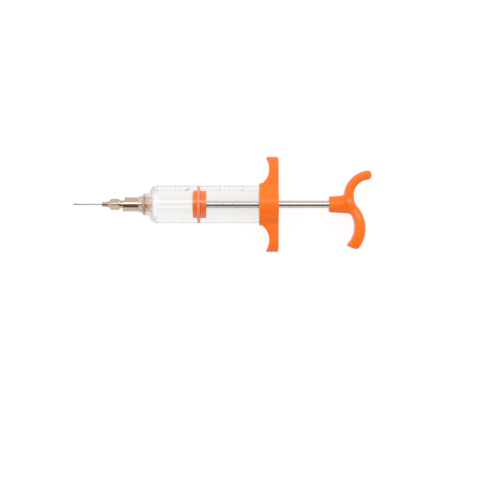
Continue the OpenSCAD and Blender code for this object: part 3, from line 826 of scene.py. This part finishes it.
def scale_tree():
    tree, given = piece_tree("printed_ticks", {"Count": "Int", **dict.fromkeys(
        ("Spacing", "Start", "Tick Width", "Short", "Long", "Radius", "Angle"), "Float")})
    row = geo(tree, "MeshLine", {
        "Count": given["Count"], "Offset": vector(tree, given["Spacing"]),
        "Start Location": vector(tree, given["Start"])})
    size = vector(tree, given["Tick Width"], 1.0, INK_T * MM)
    bar = geo(tree, "MeshCube", {"Size": size, "Vertices X": 2, "Vertices Y": TICK_CUTS})
    from_end = geo(tree, "Transform", {0: bar, "Translation": (0, 0.5, 0)})
    index = geo(tree, "InputIndex")
    longer = calc(tree, "LESS_THAN", calc(tree, "MODULO", index, LONG_EVERY), 0.5)
    reach = ramp(tree, longer, 0, 1, given["Short"], given["Long"])
    ticks = geo(tree, "InstanceOnPoints", {
        "Points": row, "Instance": from_end, "Scale": vector(tree, 1.0, reach, 1.0)})
    real = geo(tree, "RealizeInstances", {0: ticks})
    flat = axes_of(tree, geo(tree, "InputPosition"))
    angle = calc(tree, "ADD", calc(tree, "DIVIDE", flat["Y"], given["Radius"]), given["Angle"])
    bent = round_axis(tree, flat["X"], calc(tree, "ADD", flat["Z"], given["Radius"]), angle)
    return end_tree(tree, given, geo(tree, "SetPosition", {0: real, "Position": bent}))


ticks = grown(new_piece("scale_ticks", [(0, 0, 0)]), scale_tree(), {
    "Count": TICKS, "Spacing": ML * MM, "Start": ZERO_X * MM, "Tick Width": TICK_W * MM,
    "Short": SHORT_TICK * MM, "Long": LONG_TICK * MM, "Radius": INK_R * MM, "Angle": SCALE_ANGLE,
    "Finish": INK})
settle(ticks, "barrel")


# %% Print that bends onto the barrel
def wrapped_print(name, flat_points, faces, angle):
    """A closed thin print, bent onto the barrel from flat (along X, round it) points."""
    n = len(flat_points)
    edges = dict.fromkeys(pair for face in faces for pair in zip(face, face[1:] + face[:1]))
    sides = [(a, b, b + n, a + n) for a, b in edges if (b, a) not in edges]
    solid = [tuple(i + n for i in f) for f in faces] + [f[::-1] for f in faces] + sides
    spots = [(x * MM, r * MM * math.sin(angle + v / INK_R), r * MM * math.cos(angle + v / INK_R))
             for r in (INK_R - INK_T / 2, INK_R + INK_T / 2) for x, v in flat_points]
    piece = new_piece(name, spots, [], solid)
    piece.data.materials.append(INK)
    return kept_mesh(piece)


# %% Numbers
NUMBER_SIZE, NUMBER_OFF, STRIPS, WELD = 2.5, 3.8, 7, 0.002


def digits(text):
    """Flat points and faces of a number, cut into strips that can bend."""
    curve = bpy.data.curves.new("number", "FONT")
    curve.body, curve.size, curve.align_x, curve.align_y = text, NUMBER_SIZE, "CENTER", "TOP"
    holder = put("number", curve)
    graph = bpy.context.evaluated_depsgraph_get()
    mesh = bpy.data.meshes.new_from_object(holder.evaluated_get(graph))
    bpy.data.objects.remove(holder)
    work = bmesh.new()
    work.from_mesh(mesh)
    for k in range(1, STRIPS - 1):
        bmesh.ops.bisect_plane(work, geom=work.verts[:] + work.edges[:] + work.faces[:],
                               plane_co=(0, -NUMBER_SIZE * k / STRIPS, 0), plane_no=(0, 1, 0))
    bmesh.ops.remove_doubles(work, verts=work.verts, dist=WELD)
    work.verts.ensure_lookup_table()
    spots = [v.co.copy() for v in work.verts]
    faces = [tuple(v.index for v in f.verts) for f in work.faces]
    work.free()
    bpy.data.meshes.remove(mesh)
    return spots, faces


for value in (5, 10, 15, 20):
    spots, faces = digits(str(value))
    flat_points = [(ZERO_X + ML * value - p.x, NUMBER_OFF - p.y) for p in spots]
    settle(wrapped_print("scale_number_%d" % value, flat_points, faces, SCALE_ANGLE), "barrel")

# %% Slanted stroke
STROKE_X, STROKE_OFF, STROKE_REACH, STROKE_HALF, STROKE_CUTS = -48.7, 9.5, 2.5, 0.45, 8
steps = [STROKE_REACH * k / STROKE_CUTS for k in range(STROKE_CUTS + 1)]
STROKE = [(STROKE_X + step + half, STROKE_OFF + step)
          for step in steps for half in (-STROKE_HALF, STROKE_HALF)]
strips = [(k, k + 1, k + 3, k + 2) for k in range(0, 2 * STROKE_CUTS, 2)]
settle(wrapped_print("slanted_stroke", STROKE, strips, 0), "barrel")

# %% [markdown]
# ## Piston and rod
# Two orange plates clamp a silicone ring, and a chromed rod screws through them. The ring is made a
# hair larger than the bore: a squeezed seal touches the wall with no air between, and only then does
# the wall magnify it to the barrel's full width, as in the photograph.

# %% Plates
PISTON_X, GROOVE_X, REAR_X, ROD_X = -44.1, -41.2, -39.1, -35.2
PLATE_R, GROOVE_R, STUD_HOLE_R, STUD_HOLE_X = 9.2, 7.3, 1.95, -43.3
DIMPLE_X, DIMPLE_R, DIMPLE_RIM_R = PISTON_X + 0.25, 1.2, 1.7
DISH_X, DISH_OUT_R, DISH_IN_R, DISH_SLANT = ROD_X - 0.3, 4.3, 3.4, 0.3
settle(turned("piston_plate_front", [
    (DIMPLE_X, 0), (DIMPLE_X, DIMPLE_R, 0.2), (PISTON_X, DIMPLE_RIM_R, 0.2), (PISTON_X, PLATE_R, 1.2),
    (GROOVE_X, PLATE_R, 0.3), (GROOVE_X, GROOVE_R, 0.1), (REAR_X, GROOVE_R, 0.1),
    (REAR_X, STUD_HOLE_R, 0.1), (STUD_HOLE_X, STUD_HOLE_R), (STUD_HOLE_X, 0)], ORANGE, closed=False),
    "plunger", "piston_front_plate")
settle(turned("piston_plate_rear", [
    (REAR_X, STUD_HOLE_R, 0.1), (REAR_X, PLATE_R, 0.4), (ROD_X, PLATE_R, 0.4),
    (ROD_X, DISH_OUT_R + DISH_SLANT, 0.2), (DISH_X, DISH_OUT_R, 0.2), (DISH_X, DISH_IN_R, 0.2),
    (ROD_X, DISH_IN_R - DISH_SLANT, 0.2), (ROD_X, STUD_HOLE_R, 0.1)], ORANGE),
    "plunger", "piston_rear_plate")

# %% Seal and rod
SEAL_R, SEAL_GAP = BORE_R + 0.02, 0.08
SEAL_X, SEAL_END_X, SEAL_BORE_R = GROOVE_X + SEAL_GAP, REAR_X - SEAL_GAP, GROOVE_R + SEAL_GAP
settle(turned("piston_ring", [
    (SEAL_X, SEAL_BORE_R, 0.1), (SEAL_X, SEAL_R, 0.22), (SEAL_END_X, SEAL_R, 0.22),
    (SEAL_END_X, SEAL_BORE_R, 0.1)], SALMON), "seal", "piston_seal")
ROD_TIP_X, ROD_END_X, ROD_BACK_X, ROD_R, ROD_STUD_R = -42.9, 49.7, 57.3, 2.5, 1.9
settle(turned("chromed_push_rod", [
    (ROD_TIP_X, 0), (ROD_TIP_X, ROD_STUD_R, 0.35), (ROD_X, ROD_STUD_R, 0.05), (ROD_X, ROD_R, 0.15),
    (ROD_END_X, ROD_R, 0.15), (ROD_END_X, ROD_STUD_R, 0.05), (ROD_BACK_X, ROD_STUD_R, 0.35),
    (ROD_BACK_X, 0)], CHROME, closed=False, steps=96), "plunger", "push_rod")

# %% [markdown]
# ## Moulded pieces from distance fields
# The grip and the handle are moulded: every edge is rounded and every inner corner has a fillet.
# Bevelling a boolean by hand is fragile, so each is written as a distance field instead, negative
# inside the plastic. Fields join with a rounding of a chosen radius. A mesh is then drawn where the
# field is zero: one vertex in each crossed cell of a grid, pulled onto the surface along the slope.
# The slope also gives each vertex its normal, so that gloss runs smoothly over the cells.

# %% Field helpers
SLOPE_STEP = 0.02


def round_max(a, b, r):
    """Where both fields are inside, with the edge between them rounded by r."""
    return np.minimum(np.maximum(a, b), -r) + np.hypot(np.maximum(a + r, 0), np.maximum(b + r, 0))


def round_min(a, b, r):
    """Where either field is inside, with a fillet of radius r between them."""
    return -round_max(-a, -b, r)


def slope(field, p):
    steps = SLOPE_STEP * np.eye(3)
    return np.stack([field(p + s) - field(p - s) for s in steps], 1) / (2 * SLOPE_STEP)


# %% Crossed cells of a grid
CELL, CELLS_BEFORE, CELLS_AFTER = 0.3, 1.3, 2.4


def window(spans):
    """An index into a grid that keeps these stretches of its axes."""
    return tuple(spans.get(axis, slice(None)) for axis in range(3))


def crossed_cells(field, low, high):
    """The mean crossing in each crossed cell, the cells' numbers and the crossed grid edges."""
    axes = [np.arange(lo - CELL * CELLS_BEFORE, hi + CELL * CELLS_AFTER, CELL)
            for lo, hi in zip(low, high)]
    grid = np.stack(np.meshgrid(*axes, indexing="ij"), -1)
    value = field(grid.reshape(-1, 3)).reshape(grid.shape[:3])
    inside, cells = value < 0, tuple(n - 1 for n in value.shape)
    total, count, crossings = np.zeros((*cells, 3)), np.zeros(cells), []
    for axis in range(3):
        here, there = window({axis: slice(0, -1)}), window({axis: slice(1, None)})
        cross = inside[here] != inside[there]
        spot = grid[here].copy()
        spot[..., axis] += value[here] / np.where(cross, value[here] - value[there], 1) * CELL
        spot *= cross[..., None]
        u, v = (k for k in range(3) if k != axis)
        for du, dv in ((0, 0), (0, 1), (1, 0), (1, 1)):
            part = window({u: slice(du, cells[u] + du), v: slice(dv, cells[v] + dv)})
            total += spot[part]
            count += cross[part]
        crossings.append((axis, u, v, cross, inside[here]))
    active = count > 0
    number = np.full(cells, -1)
    number[active] = np.arange(active.sum())
    return total[active] / count[active][:, None], number, crossings


# %% Faces between the crossed cells
def net_faces(number, crossings):
    """A quad between the four cells round each crossed grid edge, facing outwards."""
    faces = []
    for axis, u, v, cross, starts_inside in crossings:
        at, quad = np.argwhere(cross), []
        for du, dv in ((1, 1), (0, 1), (0, 0), (1, 0)):
            near = at.copy()
            near[:, u] -= du
            near[:, v] -= dv
            quad.append(number[tuple(near.T)])
        quad = np.stack(quad, 1)
        flip = starts_inside[cross] == (axis == 1)
        quad[flip] = quad[flip][:, ::-1]
        faces.append(quad)
    return np.concatenate(faces).tolist()


# %% Drawing the mesh of a field
PULLS, LONGEST_PULL, LEAST_SLOPE = 4, 0.4 * CELL, 0.05
# Convex edges are marked for rubbed wear and a painted edge highlight.
WEAR_AND_SHEEN_STEP, WEAR_AND_SHEEN_FROM = 0.3, 0.5


def moulded(name, field, low, high, finish):
    """A mesh of the field's zero surface in a box, with its convex edges marked for wear and a
    painted edge highlight.
    """
    spots, number, crossings = crossed_cells(field, low, high)
    for _ in range(PULLS):
        steep = slope(field, spots)
        pull = field(spots)[:, None] * steep / np.maximum((steep ** 2).sum(1), LEAST_SLOPE)[:, None]
        spots = spots - np.clip(pull, -LONGEST_PULL, LONGEST_PULL)
    steps = WEAR_AND_SHEEN_STEP * np.eye(3)
    bend = sum(field(spots + s) + field(spots - s) - 2 * field(spots) for s in steps) / WEAR_AND_SHEEN_STEP ** 2
    piece = new_piece(name, (spots * MM).tolist(), [], net_faces(number, crossings))
    mark(piece, "edge", "FLOAT", "value", np.clip(bend - WEAR_AND_SHEEN_FROM, 0, 1))
    piece.data.shade_smooth()
    piece.data.materials.append(finish)
    kept_mesh(piece)
    steep = slope(field, np.array([v.co for v in piece.data.vertices]) / MM)
    piece.data.normals_split_custom_set_from_vertices(steep / np.linalg.norm(steep, axis=1)[:, None])
    return piece


# %% [markdown]
# ## Finger grip
# A round hub screws onto the barrel's spigot and guides the rod. Two flat ears stand out from it,
# each scooped in front to the curve of a finger and left thick at its tip. Joined meshes would need
# a bevel along every seam, but in a field each fillet is one number.

# %% Finger grip
GRIP_LEN, HUB_R, HUB_ROUND, BACK_ROUND = 12.9, 14.14, 0.8, 0.9
EAR_W, EAR_END, EAR_TIP_X, EAR_FOOT_X, EAR_ROUND, EAR_FILLET = 16.0, 31.8, 4.0, 1.5, 1.5, 1.2
SCOOP_R, SCOOP_X, SCOOP_Y, SCOOP_ROUND = 12.5, -5.7, 23.7, 0.5
GRIP_BORE_R, GRIP_BORE_X, GUIDE_R, BORE_ROUND = 11.55, 9.2, 2.57, 0.3


def grip_field(p):
    x, y, z = p[:, 0], np.abs(p[:, 1]), p[:, 2]
    around = np.hypot(y, z)
    hub = round_max(around - HUB_R, -x, HUB_ROUND)
    outline = np.hypot(np.maximum(y - (EAR_END - EAR_W / 2), 0), z) - EAR_W / 2
    scoop = SCOOP_R - np.hypot(x - SCOOP_X, y - SCOOP_Y)
    front = round_max(scoop, np.where(y > SCOOP_Y, EAR_TIP_X - x, EAR_FOOT_X - x), SCOOP_ROUND)
    ears = round_max(outline, front, EAR_ROUND)
    solid = round_max(round_min(hub, ears, EAR_FILLET), x - GRIP_LEN, BACK_ROUND)
    bore = np.maximum(around - GRIP_BORE_R, x - GRIP_BORE_X)
    return round_max(round_max(solid, -bore, BORE_ROUND), GUIDE_R - around, BORE_ROUND)


low, high = (0, -EAR_END, -HUB_R), (GRIP_LEN, EAR_END, HUB_R)
settle(moulded("finger_grip_moulding", grip_field, low, high, ORANGE),
       "barrel", "finger_grip")

# %% [markdown]
# ## Palm handle
# The handle is one bar that follows two opposite bends, so that it lies in the palm like an S. Its
# section is flat in front, rounder behind, swells in the palm and thins towards the upper tang. A
# boss in front takes the rod. The field finds the nearest place on the two bends, then measures how
# far the point is inside the section there. Curve to Mesh could sweep the bar, but it would leave
# a hard seam where the boss grows out of it.

# %% A bent bar
FRONT_SQUARE, BACK_SQUARE, LEAST = 5.0, 2.8, 1e-6


def section(across, up, thick, wide):
    """Flat in front, where across is negative, and rounder behind."""
    square = np.where(across > 0, BACK_SQUARE, FRONT_SQUARE)
    u, v = np.abs(across) / (thick / 2), np.abs(up) / (wide / 2)
    whole = (np.maximum(u, LEAST) ** square + np.maximum(v, LEAST) ** square) ** (1 / square)
    return (whole - 1) * thick / 2


def bend_field(p, centre, radius, first, last, way, thick, wide, end_size, skew=0.0):
    """One bend from angle first to last, its free end rounded by a size and cut at a skew."""
    flat = p[:, :2] - centre
    angle = (np.arctan2(flat[:, 1], flat[:, 0]) - (first + last) / 2 + math.pi) % math.tau - math.pi
    t = np.clip((angle + (first + last) / 2 - first) / (last - first), 0, 1)
    free = first if way > 0 else last
    outward = flat @ np.array((math.cos(free), math.sin(free)))
    along = flat @ np.array((math.sin(free), -math.cos(free)))
    past = (along > 0) & (outward > 0)
    across = np.where(past, outward, np.hypot(*flat.T)) - radius
    body = section(across * way, p[:, 2], thick(t), wide(t))
    end = along * math.cos(skew) + (outward - radius) * math.sin(skew)
    return round_max(body, np.where(past, end, np.minimum(end, end_size / 2)) - end_size, end_size)


# %% Palm handle
PALM_R, PALM_TURN, WEB_R, TANG_TURN = 19.0, math.radians(79), 14.0, math.radians(83)
REVERSAL_DROP, BUTT_SKEW = 8.9, math.radians(18)
REVERSAL = math.asin(REVERSAL_DROP / WEB_R)
TOWARDS_WEB = np.array((math.cos(REVERSAL), math.sin(REVERSAL)))
WEB = np.array((73.9, 5.5))
PALM, MEETING = WEB - (WEB_R + PALM_R) * TOWARDS_WEB, WEB - WEB_R * TOWARDS_WEB
BUTT_T, BUTT_PINCH, PINCH_SHARE, BAR_T, TANG_T = 8, 0.4, 0.35, 6.2, 6.1
BAR_W, PALM_SWELL, TANG_W, BUTT_ROUND, TANG_ROUND = 14, 3, 13, 1.8, 3.0
BOSS_X, BOSS_END_X, BOSS_TIP_R, BOSS_R, BOSS_ROUND, BOSS_FILLET = 46.7, 62.0, 5.3, 6.3, 0.5, 2.0
ROD_SEAT_R, ROD_SEAT_X, BUSH_R, BUSH_X, BUSH_HALF, SEAT_ROUND = 2.55, 50, 3.65, 53.7, 4, 0.25


def butt_thickness(t):
    return BUTT_T - (BUTT_T - BAR_T) * t - BUTT_PINCH * np.maximum(1 - t / PINCH_SHARE, 0) ** 2


def handle_field(p):
    lower = bend_field(p, PALM, PALM_R, REVERSAL - PALM_TURN, REVERSAL, 1, butt_thickness,
                       lambda t: BAR_W + PALM_SWELL * np.sin(math.pi * t), BUTT_ROUND, BUTT_SKEW)
    upper = bend_field(p, WEB, WEB_R, math.pi + REVERSAL, math.pi - TANG_TURN, -1,
                       lambda t: BAR_T - (BAR_T - TANG_T) * t,
                       lambda t: BAR_W - (BAR_W - TANG_W) * t, TANG_ROUND)
    heading = np.array((-math.sin(REVERSAL), math.cos(REVERSAL)))
    bar = np.where((p[:, :2] - MEETING) @ heading < 0, lower, upper)
    x, around = p[:, 0], np.hypot(p[:, 1], p[:, 2])
    taper = BOSS_TIP_R + (BOSS_R - BOSS_TIP_R) * (x - BOSS_X) / (BOSS_END_X - BOSS_X)
    boss = np.maximum(round_max(around - taper, BOSS_X - x, BOSS_ROUND), x - BOSS_END_X)
    rod_seat = np.maximum(around - ROD_SEAT_R, x - ROD_SEAT_X)
    bush_seat = np.maximum(around - BUSH_R, np.abs(x - BUSH_X) - BUSH_HALF)
    return round_max(round_min(bar, boss, BOSS_FILLET), -np.minimum(rod_seat, bush_seat), SEAT_ROUND)


low, high = (np.array(corner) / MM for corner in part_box("palm_handle"))
settle(moulded("palm_handle_moulding", handle_field, low, high, ORANGE_SEAMED),
       "plunger", "palm_handle")

# %% [markdown]
# ## Threaded bush
# The brass bush inside the boss is hidden, and its CAD shape is right, so it only gets its finish.

# %% Finish of the bush
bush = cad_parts["handle_insert"]
for spot in bush.material_slots:
    spot.material = BRASS
print("bush finished in", BRASS.name)
